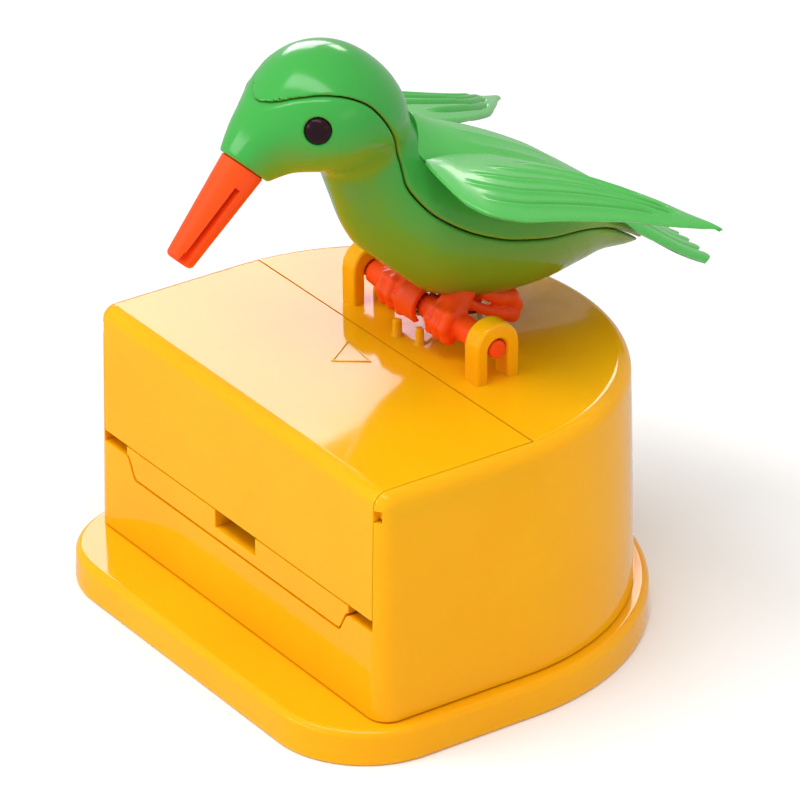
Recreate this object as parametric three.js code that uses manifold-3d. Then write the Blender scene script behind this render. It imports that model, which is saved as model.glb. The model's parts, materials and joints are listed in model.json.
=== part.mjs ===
// Bird toothpick dispenser: a yellow box with a sliding lid, and a green bird that bows on two
// lugs to take a toothpick from the slot in the box front.
// Millimetres, +Z up. The bird faces -Y and +X is the bird's left side. The origin is on the
// underside of the base, below the seam between the sliding lid and the rear deck.
import * as THREE from 'three';
import { mergeVertices } from 'three/addons/utils/BufferGeometryUtils.js';
import Module from 'manifold-3d';

const wasm = await Module();
wasm.setup();

// ---- Driving dimensions -------------------------------------------------------------------
const GAP = 0.3;                  // clearance between touching pieces
const WALL = 2.4;                 // box wall
const SHELL = 1.6;                // bird wall

const BOX_HALF = 40;              // box half width
const BOX_FRONT = -29.8;          // y of the box front
const REAR_CENTRE = -3.2;         // y where the straight sides end and the round back starts
const BOX_CORNER = 3.4;           // upright front corner radius
const DRAFT = 0.8;                // how far the walls lean in over their height
const TOP_ROUND = 2.4;            // rounding of the top edge

const BASE_T = 5.9;               // base plate thickness
const BASE_MARGIN = 2.5;          // base plate beyond the box at the sides and back
const BASE_LEDGE = 9.6;           // base plate beyond the box at the front
const BASE_CORNER = 16;           // front corner radius of the base plate
const COVER_T = 2;                // bottom cover thickness

const DECK = 44.2;                // height of the deck and lid top
const WALL_TOP = BASE_T + 11.5;   // lower front wall
const POST_TOP = BASE_T + 15.0;   // lower front wall at its two ends
const LID_BOTTOM = BASE_T + 17.0; // lower edge of the lid's front panel
const LIP_HALF = 31;              // half width of the chute lip in the front
const WINDOW_HALF = 5.6;          // half width of the pick window
const WINDOW_SILL = BASE_T + 13.6;
const LID_HALF = 37;              // half width of the lid
const RAMP_SLOPE = 0.3;           // rise of the chute floor towards the back

const PIVOT_Y = 6.9;              // bird's pivot
const PIVOT_Z = DECK + 5.2;
const LUG_OUTER = 18.4;
const LUG_T = 3.6;
const LUG_W = 7.9;
const LUG_H = 9.6;
const SLOT_W = 3.6;
const PIN_R = 1.45;

const HEAD = { y: -12.7, z: DECK + 42.7, r: 11.7, chin: 0.7 };
const BEAK_BASE = new THREE.Vector3(0, -26.6, DECK + 38.3);
const BEAK_TIP = new THREE.Vector3(0, -38.4, DECK + 25.7);
const EYE = { x: 9.1, y: -19.2, z: DECK + 45.4, r: 1.95 };

// ---- Solids: from three.js geometry to manifold and back -------------------------------------
function solid(geometry) {
  const bare = geometry.clone();
  bare.deleteAttribute('normal');
  bare.deleteAttribute('uv');
  const merged = mergeVertices(bare, 1e-4);
  const vertProperties = Float32Array.from(merged.attributes.position.array);
  const triVerts = Uint32Array.from(merged.index.array);
  const shape = new wasm.Manifold(new wasm.Mesh({ numProp: 3, vertProperties, triVerts }));
  if (shape.volume() > 0) return shape;
  return new wasm.Manifold(new wasm.Mesh({ numProp: 3, vertProperties, triVerts: triVerts.reverse() }));
}

function toGeometry(manifold) {
  const mesh = manifold.getMesh();
  const geometry = new THREE.BufferGeometry();
  geometry.setAttribute('position', new THREE.BufferAttribute(mesh.vertProperties, 3));
  geometry.setIndex(new THREE.BufferAttribute(mesh.triVerts, 1));
  geometry.computeVertexNormals();
  return geometry;
}

function join(first, ...rest) {
  return rest.reduce((sum, next) => sum.add(next), first);
}

function cut(first, ...rest) {
  return rest.reduce((left, next) => left.subtract(next), first);
}

// ---- Shape helpers -----------------------------------------------------------------------
function block(x0, x1, y0, y1, z0, z1) {
  const geometry = new THREE.BoxGeometry(x1 - x0, y1 - y0, z1 - z0);
  return solid(geometry.translate((x0 + x1) / 2, (y0 + y1) / 2, (z0 + z1) / 2));
}

// A closed skin through rings of points that all have the same count.
function loft(rings) {
  const count = rings[0].length;
  const points = rings.flat();
  const index = [];
  for (let r = 0; r + 1 < rings.length; r += 1) {
    for (let i = 0; i < count; i += 1) {
      const a = r * count + i;
      const b = r * count + (i + 1) % count;
      index.push(a, b, b + count, a, b + count, a + count);
    }
  }
  const last = (rings.length - 1) * count;
  for (const [start, turned] of [[0, true], [last, false]]) {
    const centre = new THREE.Vector3();
    for (let i = 0; i < count; i += 1) centre.addScaledVector(points[start + i], 1 / count);
    const hub = points.push(centre) - 1;
    for (let i = 0; i < count; i += 1) {
      const a = start + i;
      const b = start + (i + 1) % count;
      if (turned) index.push(hub, b, a);
      else index.push(hub, a, b);
    }
  }
  const geometry = new THREE.BufferGeometry().setFromPoints(points);
  geometry.setIndex(index);
  return solid(geometry);
}

const PLAN_STEPS = 9;

// The plan of the box or the base: straight sides, rounded front corners, half-round back.
function plan(inset, ledge, margin, corner, z) {
  const half = BOX_HALF + margin - inset;
  const front = BOX_FRONT - ledge + inset;
  const radius = Math.max(corner - inset, 0.6);
  const shape = new THREE.Shape();
  shape.moveTo(half, REAR_CENTRE);
  shape.absarc(0, REAR_CENTRE, half, 0, Math.PI, false);
  shape.lineTo(-half, front + radius);
  shape.absarc(-half + radius, front + radius, radius, Math.PI, 1.5 * Math.PI, false);
  shape.absarc(half - radius, front + radius, radius, 1.5 * Math.PI, 2 * Math.PI, false);
  const outline = shape.getPoints(PLAN_STEPS);
  const distinct = outline.filter((p, i) => p.distanceTo(outline[(i + 1) % outline.length]) > 1e-6);
  return distinct.map((p) => new THREE.Vector3(p.x, p.y, z));
}
const boxPlan = (inset, z) => plan(inset, 0, 0, BOX_CORNER, z);
const basePlan = (inset, z) => plan(inset, BASE_LEDGE, BASE_MARGIN, BASE_CORNER, z);

// The outside of the box: leaning walls and a rounded top edge.
function boxForm(bottom, inset) {
  const top = DECK - inset;
  const rings = [boxPlan(inset, bottom)];
  const round = Math.max(TOP_ROUND - inset, 0.3);
  for (let i = 0; i <= 3; i += 1) {
    const angle = (i / 3) * Math.PI / 2;
    const z = top - round + round * Math.sin(angle);
    const lean = DRAFT * (z - BASE_T) / (DECK - BASE_T);
    rings.push(boxPlan(inset + lean + round * (1 - Math.cos(angle)), z));
  }
  return loft(rings);
}

// A flat outline in X and Z, pushed along Y.
function acrossY(points, y0, y1) {
  const shape = new THREE.Shape(points.map(([x, z]) => new THREE.Vector2(x, z)));
  const geometry = new THREE.ExtrudeGeometry(shape, { depth: y1 - y0, bevelEnabled: false });
  return solid(geometry.rotateX(Math.PI / 2).translate(0, y1, 0));
}

// A flat outline in Y and Z, pushed along X.
function acrossX(points, x0, x1) {
  const shape = new THREE.Shape(points.map(([y, z]) => new THREE.Vector2(y, z)));
  const geometry = new THREE.ExtrudeGeometry(shape, { depth: x1 - x0, bevelEnabled: false });
  geometry.rotateX(Math.PI / 2).rotateZ(Math.PI / 2);
  return solid(geometry.translate(x0, 0, 0));
}

function upright(radius, x, y, z0, z1, sides = 12) {
  const geometry = new THREE.CylinderGeometry(radius, radius, z1 - z0, sides);
  return solid(geometry.rotateX(Math.PI / 2).translate(x, y, (z0 + z1) / 2));
}

function crossbar(radius, x0, x1, y, z, sides = 14) {
  const geometry = new THREE.CylinderGeometry(radius, radius, x1 - x0, sides);
  return solid(geometry.rotateZ(Math.PI / 2).translate((x0 + x1) / 2, y, z));
}

// A round bar along a curve, with the wire or toe thickness as its section.
function bar(points, radius, steps, sides = 4) {
  const section = new THREE.Shape();
  section.absarc(0, 0, radius, 0, 2 * Math.PI, false);
  const extrudePath = new THREE.CatmullRomCurve3(points.map((p) => new THREE.Vector3(...p)));
  const options = { steps, curveSegments: sides, bevelEnabled: false, extrudePath };
  return solid(new THREE.ExtrudeGeometry(section, options));
}

// ---- Materials ---------------------------------------------------------------------------
function plastic(color, roughness = 0.25) {
  return new THREE.MeshStandardMaterial({ color, roughness, metalness: 0 });
}
const YELLOW = plastic(0xf8bb25);
const GREEN = plastic(0x4bbe55);
const PALE_GREEN = plastic(0x64c36c);
const ORANGE = plastic(0xfa4614);
const EYE_BLACK = plastic(0x241424, 0.1);
const STEEL = new THREE.MeshStandardMaterial({ color: 0xb8b8bc, roughness: 0.3, metalness: 1 });

const group = new THREE.Group();
function add(name, manifold, material) {
  const mesh = new THREE.Mesh(toGeometry(manifold), material);
  mesh.name = name;
  group.add(mesh);
}

// ---- Base ----------------------------------------------------------------------------------
const SCREWS = [[-33.8, -17], [33.8, -17], [-24.4, 21.2], [24.4, 21.2]];
const SCREW_R = 1.4;
const SCREW_HEAD_R = 2.9;
const BOSS_R = 3.6;
const BOSS_TOP = BASE_T + 8.5;

function basePlate() {
  const form = loft([
    basePlan(0.5, 0), basePlan(0, 0.5), basePlan(0, BASE_T - 1), basePlan(1, BASE_T),
  ]);
  const hollow = loft([basePlan(2, -1), basePlan(2, BASE_T - 2)]);
  const holes = SCREWS.map(([x, y]) => upright(SCREW_R + GAP, x, y, 0, BASE_T + 1));
  return cut(form, hollow, ...holes);
}

function bottomCover() {
  const plate = loft([basePlan(2 + GAP, 0), basePlan(2 + GAP, COVER_T)]);
  const holes = SCREWS.map(([x, y]) => countersink(SCREW_HEAD_R + 0.5, SCREW_R + 0.5, x, y, -0.01));
  return cut(plate, ...holes);
}

// The cone under a countersunk screw head, widest at its lower end.
function countersink(headRadius, shankRadius, x, y, bottom) {
  const profile = [[0, 0], [headRadius, 0], [shankRadius, 1.6], [shankRadius, 3], [0, 3]];
  const lathe = new THREE.LatheGeometry(profile.map(([r, z]) => new THREE.Vector2(r, z)), 12);
  return solid(lathe.rotateX(Math.PI / 2).translate(x, y, bottom));
}

function screw(x, y, bottom, length) {
  const drive = [block(-1.6, 1.6, -0.3, 0.3, -1, 0.7), block(-0.3, 0.3, -1.6, 1.6, -1, 0.7)];
  const cross = join(...drive).translate([x, y, bottom]);
  const shank = upright(SCREW_R, x, y, bottom + 1.5, bottom + length);
  return cut(join(countersink(SCREW_HEAD_R, SCREW_R, x, y, bottom), shank), cross);
}

// ---- Box -----------------------------------------------------------------------------------
// The top of the lower front wall, out to half: low across the middle and curving up to a post at
// each end. The lip above follows the same line, with clearance.
function wallTopLine(half, clearance) {
  const [curveStart, curveRun, steps] = [28.3 - clearance, 2.7, 5];
  const right = [];
  for (let i = 0; i <= steps; i += 1) {
    const t = i / steps;
    const rise = (POST_TOP - WALL_TOP) * t * t * (3 - 2 * t);
    right.push([Math.min(curveStart + curveRun * t, half), WALL_TOP + rise + clearance]);
  }
  if (half > curveStart + curveRun) right.push([half, POST_TOP + clearance]);
  const left = right.map(([x, z]) => [-x, z]).reverse();
  return [...left, ...right];
}

// Two small posts that keep the return spring in place.
const SPRING_POSTS = [[-3.2, 3.1], [1.3, 4.2]];

function lug(side) {
  const outer = LUG_OUTER * side;
  const inner = (LUG_OUTER - LUG_T) * side;
  const arch = (halfWidth, top, bottom) => {
    const points = [];
    for (let i = 0; i <= 12; i += 1) {
      const angle = Math.PI * i / 12;
      points.push([PIVOT_Y + halfWidth * Math.cos(angle), top + halfWidth * Math.sin(angle)]);
    }
    points.push([PIVOT_Y - halfWidth, bottom], [PIVOT_Y + halfWidth, bottom]);
    return points;
  };
  const [x0, x1] = side > 0 ? [inner, outer] : [outer, inner];
  const body = acrossX(arch(LUG_W / 2, DECK + LUG_H - LUG_W / 2, DECK - 1), x0, x1);
  return cut(body, acrossX(arch(SLOT_W / 2, PIVOT_Z, DECK), x0 - 1, x1 + 1));
}

function boxShell() {
  const floor = BASE_T + GAP;
  const form = boxForm(floor, 0);
  const hollow = loft([boxPlan(WALL + 0.2, 0), boxPlan(WALL + DRAFT, DECK - WALL)]);
  const mouth = block(-LID_HALF - GAP, LID_HALF + GAP, BOX_FRONT + WALL, 0, DECK - 10, DECK + 5);
  const half = LID_HALF + GAP;
  const front = [...wallTopLine(half, 0), [half, DECK + 5], [-half, DECK + 5]];
  const face = acrossY(front, BOX_FRONT - 5, BOX_FRONT + WALL + 0.6);
  const groove = block(-half - 1.2, half + 1.2, BOX_FRONT - 5, 0, DECK - 4.7, DECK - 2.7);
  const posts = SPRING_POSTS.map(([x, y]) => upright(0.75, x, y, DECK - 0.5, DECK + 2.9, 8));
  const bosses = SCREWS.map(([x, y]) => upright(BOSS_R, x, y, floor, BOSS_TOP));
  const bores = SCREWS.map(([x, y]) => upright(SCREW_R + GAP, x, y, 0, BOSS_TOP - 1));
  const clipped = join(...bosses).intersect(boxForm(floor, 0.4));
  const shell = join(cut(form, hollow, mouth, face, groove), clipped, lug(1), lug(-1), ...posts);
  return cut(shell, ...bores);
}

// ---- Toothpick chute: sloping floor, side cheeks, and the lip with the pick window -----------
function toothpickChute() {
  const back = BOX_FRONT + WALL + 1.8;
  const sill = WINDOW_SILL - 0.3;
  const rise = (y) => sill + (y - back) * RAMP_SLOPE;
  const far = 34;
  const floor = acrossX(
    [[back - 1, sill - 2], [far, rise(far) - 2], [far, rise(far)], [back - 1, sill]], -36, 36,
  );
  const cheek = (x) => acrossX(
    [[back + 2, sill - 2], [far, rise(far) - 2], [far, rise(far) + 4], [back + 2, sill + 8]],
    x - 0.8, x + 0.8,
  );
  const leg = (x) => acrossX(
    [[-22, BASE_T + GAP], [26, BASE_T + GAP], [26, rise(26) - 1], [-22, rise(-22) - 1]],
    x - 0.8, x + 0.8,
  );
  const inside = loft([boxPlan(WALL + 1.6, 0), boxPlan(WALL + 1.6, DECK - WALL - GAP)]);
  const tray = join(floor, cheek(-34.4), cheek(34.4), leg(-18), leg(18)).intersect(inside);
  const reach = LIP_HALF - 0.1;
  const outline = [...wallTopLine(reach, GAP), [reach, LID_BOTTOM - GAP], [-reach, LID_BOTTOM - GAP]];
  const lip = acrossY(outline, BOX_FRONT + 0.35, back + 1.2);
  const window = block(-WINDOW_HALF, WINDOW_HALF, BOX_FRONT - 1, back + 3, WINDOW_SILL, DECK);
  return cut(join(tray, lip), window);
}

// ---- Sliding lid -------------------------------------------------------------------------------
// The raised triangle on the lid that points the way it slides: its middle, and its corners from it.
const ARROW_AT = [-1.8, -6.6];
const ARROW = [[0.2, -3.7], [-4.2, 2.5], [4.0, 1.2]];

function frontLid() {
  const form = boxForm(BASE_T, 0);
  const zone = block(-LID_HALF, LID_HALF, BOX_FRONT - 5, -GAP, LID_BOTTOM, DECK + 5);
  const under = block(-LID_HALF - 5, LID_HALF + 5, BOX_FRONT + WALL, 5, 0, DECK - 2.2);
  const rail = (side) => {
    const inner = block(LID_HALF - 2, LID_HALF, BOX_FRONT + WALL - 1, -GAP, DECK - 5, DECK - 2);
    const tongue = block(LID_HALF - 1, LID_HALF + 1, BOX_FRONT + 2, -2, DECK - 4.4, DECK - 3);
    const both = inner.add(tongue);
    return side > 0 ? both : both.mirror([1, 0, 0]);
  };
  const triangle = (scale, z0, z1) => {
    const corners = ARROW.map(([x, y]) => (
      new THREE.Vector2(ARROW_AT[0] + x * scale, ARROW_AT[1] + y * scale)
    ));
    const shape = new THREE.Shape(corners);
    const prism = new THREE.ExtrudeGeometry(shape, { depth: z1 - z0, bevelEnabled: false });
    return solid(prism.translate(0, 0, z0));
  };
  const ridge = cut(triangle(1, DECK - 0.5, DECK + 0.2), triangle(0.84, DECK - 1, DECK + 1));
  return join(cut(form.intersect(zone), under), rail(1), rail(-1), ridge);
}

// ---- Bird: body form -----------------------------------------------------------------------
// Stations from tail to neck: y, height over the deck, half height, half width.
const BODY = [
  [46.6, 5.9, 0.7, 1.0], [43.5, 8.0, 2.4, 3.0], [37, 11.6, 4.9, 6.2], [30, 14.0, 7.6, 9.4],
  [22, 15.9, 10.3, 11.8], [14, 18.2, 12.0, 12.6], [7, 21.1, 11.8, 12.2], [1.6, 25.2, 10.3, 10.8],
  [-2.2, 30.4, 8.7, 9.2], [-4.8, 35.6, 8.0, 8.3], [-7, 40, 8.0, 8.2],
];
// Stations from inside the head to the end of the snout.
const SNOUT = [
  [-13, 43.4, 9.2, 10.2], [-18, 43.0, 7.9, 8.8], [-21.8, 41.7, 6.4, 6.9],
  [-24.6, 40.0, 5.1, 5.3], [-26.9, 38.1, 4.0, 4.0],
];
// The line along the bird's side where the crown and back meet the face and belly.
const PARTING = [
  [-40, 46.6], [-22.7, 48.4], [-20, 50.0], [-14.9, 50.2], [-11.8, 48.7], [-9, 45.6], [-5.2, 38.9],
  [-4.2, 34.7], [-3.1, 30.6], [-0.1, 26.9], [4.3, 23.7], [11.3, 20.2], [19.2, 17.8], [31.5, 14.7],
  [38.5, 11.4], [44, 7.6], [60, -6],
];
const RING = 18;

function tube(stations, steps, thinner, reach) {
  const path = new THREE.CatmullRomCurve3(stations.map(([y, z]) => new THREE.Vector3(0, y, DECK + z)));
  const size = new THREE.CatmullRomCurve3(stations.map(([, , h, w]) => new THREE.Vector3(h, w, 0)));
  const rings = [];
  for (let step = 0; step <= steps; step += 1) {
    const along = path.getTangent(step / steps);
    const centre = path.getPoint(step / steps);
    if (step === steps) centre.addScaledVector(along, reach);
    const half = size.getPoint(step / steps);
    const ring = [];
    for (let i = 0; i < RING; i += 1) {
      const angle = 2 * Math.PI * i / RING;
      const high = Math.max(half.x - thinner, 0.25) * Math.sin(angle);
      const wide = Math.max(half.y - thinner, 0.25) * Math.cos(angle);
      ring.push(centre.clone().add(new THREE.Vector3(wide, along.z * high, -along.y * high)));
    }
    rings.push(ring);
  }
  return loft(rings);
}

// The head: a ball with a flatter chin.
function headForm(thinner) {
  const geometry = new THREE.SphereGeometry(HEAD.r - thinner, 18, 9).rotateX(Math.PI / 2);
  const position = geometry.attributes.position;
  for (let i = 0; i < position.count; i += 1) {
    if (position.getZ(i) < 0) position.setZ(i, position.getZ(i) * HEAD.chin);
  }
  return solid(geometry.translate(0, HEAD.y, HEAD.z));
}

// The bird without wings, made smaller all round by thinner and longer at the snout by reach.
function birdForm(thinner, reach = 0) {
  const snout = tube(SNOUT, 6, thinner, reach);
  return join(tube(BODY, 16, thinner, 0), snout, headForm(thinner));
}

// Everything above and behind the parting line, moved off it by gap.
function backZone(gap) {
  const line = PARTING.map(([y, z]) => new THREE.Vector3(0, y, DECK + z));
  const curve = new THREE.CatmullRomCurve3(line, false, 'centripetal');
  const outline = [];
  for (let i = 0; i <= 32; i += 1) {
    const at = curve.getPoint(i / 32);
    const along = curve.getTangent(i / 32);
    outline.push([at.y - along.z * gap, at.z + along.y * gap]);
  }
  outline.push([60, DECK + 70], [-40, DECK + 70]);
  return acrossX(outline, -30, 30);
}

const FEET_SCREWS = [[-2.8, 12.6], [2.8, 12.6]];

// An eye's place: on the head's side, facing out from the head's centre.
function eyeFrame(side) {
  const at = new THREE.Vector3(EYE.x * side, EYE.y, EYE.z);
  const out = at.clone().sub(new THREE.Vector3(0, HEAD.y, HEAD.z)).normalize();
  const turn = new THREE.Quaternion().setFromUnitVectors(new THREE.Vector3(0, 0, 1), out);
  return new THREE.Matrix4().compose(at, turn, new THREE.Vector3(1, 1, 1));
}

function eyePlug(side, radius, depth, dome) {
  const profile = [[0, -depth], [radius, -depth], [radius, 0]];
  for (let i = 1; i < 4; i += 1) {
    const angle = (i / 4) * Math.PI / 2;
    profile.push([radius * Math.cos(angle), dome * Math.sin(angle)]);
  }
  profile.push([0, dome]);
  const lathe = new THREE.LatheGeometry(profile.map(([r, z]) => new THREE.Vector2(r, z)), 14);
  return solid(lathe.rotateX(Math.PI / 2).applyMatrix4(eyeFrame(side)));
}

function bellyShell() {
  const bosses = FEET_SCREWS.map(([x, y]) => upright(2.1, x, y, DECK + 4, DECK + 12));
  const bores = FEET_SCREWS.map(([x, y]) => upright(0.9 + GAP, x, y, DECK, DECK + 11));
  const eyes = [-1, 1].map((side) => eyePlug(side, EYE.r + GAP, 4, 3));
  const skin = cut(birdForm(0, 1), birdForm(SHELL, 3));
  const filled = skin.add(join(...bosses).intersect(birdForm(0)));
  return cut(filled, backZone(-GAP / 2), alongBeak(beakSocket()), ...bores, ...eyes);
}

function headBackShell() {
  return cut(birdForm(0), birdForm(SHELL, 3)).intersect(backZone(GAP / 2));
}

// ---- Bird: back plate with the fan tail ----------------------------------------------------
// Stations along the middle: y, height over the deck, half width, edge drop, forward sweep of edge.
const BACK = [
  [3.4, 38.9, 7.0, 3.4, 3.0], [6.6, 36.8, 9.4, 5.6, 2.6], [11, 34.8, 11.0, 6.0, 1.6],
  [16, 32.5, 11.6, 5.6, 0.6], [22, 29.3, 10.8, 4.6, 0], [28, 25.6, 9.2, 3.6, 0],
  [33, 22.0, 7.8, 3.0, 0], [38, 18.1, 7.0, 3.4, 0], [42, 14.3, 7.5, 3.2, 0], [46, 10.5, 8.3, 2.2, 0],
  [50, 7.2, 9.0, 1.6, 0], [54.6, 4.2, 9.4, 1.1, 0],
];

function sheetRing(count, thickness, topPoint) {
  const top = [];
  const under = [];
  for (let i = 0; i <= count; i += 1) {
    const point = topPoint(2 * i / count - 1);
    top.push(point);
    under.unshift(point.clone().add(new THREE.Vector3(0, 0, -thickness)));
  }
  return [...top, ...under];
}

function backSheet(raise, thickness) {
  return loft(BACK.map(([y, z, half, drop, sweep]) => sheetRing(8, thickness, (s) => (
    new THREE.Vector3(half * s, y - sweep * s * s, DECK + z + raise - drop * s * s)
  ))));
}

function backAndTail() {
  return backSheet(0, 1.3).subtract(birdForm(-GAP));
}

// ---- Bird: wings -----------------------------------------------------------------------------
// Ribs from shoulder to tip: inner edge, outer edge (x, y, height over the deck), camber.
const WING = [
  [[8.9, 0.6, 35.3], [9.6, -0.4, 35.2], 0.1], [[8.0, 4.8, 34.7], [14.9, -1.3, 34.9], 0.5],
  [[7.4, 8.5, 33.8], [22.3, -1.8, 34.2], 0.9], [[7.4, 12.3, 32.8], [25.9, 0.0, 33.3], 1.2],
  [[8.3, 15.3, 31.7], [27.9, 4.7, 31.6], 1.4], [[9.5, 19.3, 30.1], [27.8, 11.4, 29.7], 1.5],
  [[11.8, 24.0, 28.3], [27.2, 19.5, 27.2], 1.4], [[14.8, 28.5, 26.5], [27.4, 26.7, 25.0], 1.1],
  [[21.3, 34.6, 23.9], [28.3, 33.0, 22.9], 0.6], [[25.2, 37.7, 22.2], [28.9, 38.2, 21.3], 0.3],
  [[29.3, 41.0, 20.6], [29.5, 41.3, 20.4], 0],
];

function wing(side) {
  const rings = WING.map(([inner, outer, camber]) => sheetRing(6, 1.4, (s) => {
    const t = (s + 1) / 2;
    const point = new THREE.Vector3(...inner).lerp(new THREE.Vector3(...outer), t);
    return point.add(new THREE.Vector3(0, 0, DECK + camber * (1 - s * s)));
  }));
  const right = cut(loft(rings), backSheet(GAP, 14), birdForm(-GAP));
  return side > 0 ? right : right.mirror([1, 0, 0]);
}

// ---- Bird: beak -----------------------------------------------------------------------------
// Beak shapes are made pointing down and then laid along the line from the snout to the tip.
const BEAK_LINE = BEAK_TIP.clone().sub(BEAK_BASE);
const PEG_R = 2;
const PEG_LENGTH = 5;

function alongBeak(form) {
  const tilt = THREE.MathUtils.radToDeg(Math.atan2(BEAK_LINE.y, -BEAK_LINE.z));
  return form.rotate([tilt, 0, 0]).translate(BEAK_BASE.toArray());
}

// What the snout loses for the beak: the bore for its peg, and everything past its end face.
function beakSocket() {
  return upright(PEG_R + GAP, 0, 0, -2, PEG_LENGTH + GAP, 18).add(block(-9, 9, -9, 9, -9, 0));
}

function beak() {
  const length = BEAK_LINE.length();
  const [rootR, tipR, lipR] = [3.6, 2.35, 0.8];
  const profile = [[0, PEG_LENGTH], [PEG_R, PEG_LENGTH], [PEG_R, -GAP], [rootR, -GAP]];
  for (let i = 0; i <= 3; i += 1) {
    const angle = (i / 3) * Math.PI / 2;
    profile.push([tipR - lipR + lipR * Math.cos(angle), -length + lipR - lipR * Math.sin(angle)]);
  }
  profile.push([0, -length]);
  const cone = new THREE.LatheGeometry(profile.map(([r, z]) => new THREE.Vector2(r, z)), 18);
  const slot = block(-5, 5, 0.35, 1.45, -length - 1, -length * 0.42);
  return alongBeak(solid(cone.rotateX(Math.PI / 2)).subtract(slot));
}

// ---- Bird: feet on their bar -------------------------------------------------------------------
const FOOT_X = 6.2;
const SPRING_X = [-2.6, -0.9];

function feetBracket() {
  const inner = LUG_OUTER - LUG_T - GAP;
  const pins = crossbar(PIN_R, -LUG_OUTER + 0.2, LUG_OUTER - 0.2, PIVOT_Y, PIVOT_Z);
  const [wellFrom, wellTo] = [SPRING_X[0] - 0.8, SPRING_X[1] + 0.8];
  const rods = [[-inner, wellFrom], [wellTo, inner]].map(([x0, x1]) => (
    crossbar(2.1, x0, x1, PIVOT_Y, PIVOT_Z)
  ));
  const padSide = [[4.4, 4.4], [15, 4.4], [15, 8.6], [10, 10], [4.4, 12]];
  const pad = acrossX(padSide.map(([y, z]) => [y, DECK + z]), -8.2, 8.2).subtract(birdForm(-GAP));
  const well = block(wellFrom, wellTo, 0, 10.5, DECK + 3, DECK + 13);
  const hoodFrom = wellFrom - 0.5;
  const hoodTo = wellTo + 0.5;
  const hood = cut(
    crossbar(3.6, hoodFrom, hoodTo, PIVOT_Y, PIVOT_Z, 24),
    crossbar(2.75, hoodFrom - 1, hoodTo + 1, PIVOT_Y, PIVOT_Z, 24),
    birdForm(-GAP),
  ).intersect(block(hoodFrom, hoodTo, PIVOT_Y - 5, PIVOT_Y + 0.5, DECK + 3.3, DECK + 10));
  const screwHoles = FEET_SCREWS.map(([x, y]) => upright(0.9 + GAP, x, y, DECK, DECK + 12));
  const toes = [];
  for (const foot of [-FOOT_X, FOOT_X]) {
    for (const spread of [-2.1, 0, 2.1]) {
      const x = foot + spread;
      const front = [[foot + spread * 0.6, 5.4, 8.2], [x, 4.2, 6.8], [x, 4.0, 4.9], [x, 5.0, 3.3]];
      toes.push(bar(front.map(([tx, y, z]) => [tx, y, DECK + z]), 0.9, 6));
    }
    const rear = [[foot, 9, 5.6], [foot, 13, 4.6], [foot, 17, 3.6], [foot, 20.4, 1.9]];
    toes.push(bar(rear.map(([x, y, z]) => [x, y, DECK + z]), 1.15, 8));
  }
  return cut(join(pins, ...rods, cut(pad, well), hood, ...toes), ...screwHoles);
}

function smallScrew(x, y) {
  const bottom = DECK + 2.4;
  const head = upright(1.9, x, y, bottom, DECK + 4.2);
  const shank = upright(0.9, x, y, DECK + 4, DECK + 10.2, 8);
  return cut(join(head, shank), block(x - 1.2, x + 1.2, y - 0.25, y + 0.25, bottom - 1, bottom + 0.7));
}

// Torsion spring round the bar between the feet, with one leg on the deck behind it.
function returnSpring() {
  const [coilR, wireR, turns, perTurn] = [2.1, 0.28, 2, 10];
  const [from, to] = SPRING_X;
  const path = [[from + 0.4, 14, DECK + 0.65], [from + 0.2, 9.8, DECK + 1.9]];
  const steps = Math.round(turns * perTurn);
  for (let i = 0; i <= steps; i += 1) {
    const angle = -Math.PI / 2 - 2 * Math.PI * turns * i / steps;
    const x = THREE.MathUtils.lerp(from, to, i / steps);
    path.push([x, PIVOT_Y + coilR * Math.cos(angle), PIVOT_Z + coilR * Math.sin(angle)]);
  }
  return bar(path, wireR, steps + 10, 3);
}

// ---- Assembly ----------------------------------------------------------------------------------
add('base_plate', basePlate(), YELLOW);
add('bottom_cover', bottomCover(), YELLOW);
SCREWS.forEach(([x, y], i) => add(`base_screw_${i + 1}`, screw(x, y, 0.2, BASE_T + 6.5), STEEL));
add('box_shell', boxShell(), YELLOW);
add('toothpick_chute', toothpickChute(), YELLOW);
add('front_lid', frontLid(), YELLOW);
add('belly_shell', bellyShell(), GREEN);
add('head_back_shell', headBackShell(), GREEN);
add('back_and_tail', backAndTail(), PALE_GREEN);
add('left_wing', wing(1), PALE_GREEN);
add('right_wing', wing(-1), PALE_GREEN);
add('left_eye', eyePlug(1, EYE.r, 1.4, 0.65), EYE_BLACK);
add('right_eye', eyePlug(-1, EYE.r, 1.4, 0.65), EYE_BLACK);
add('beak', beak(), ORANGE);
add('feet_bracket', feetBracket(), ORANGE);
FEET_SCREWS.forEach(([x, y], i) => add(`feet_screw_${i + 1}`, smallScrew(x, y), STEEL));
add('return_spring', returnSpring(), STEEL);

export default group;
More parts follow.
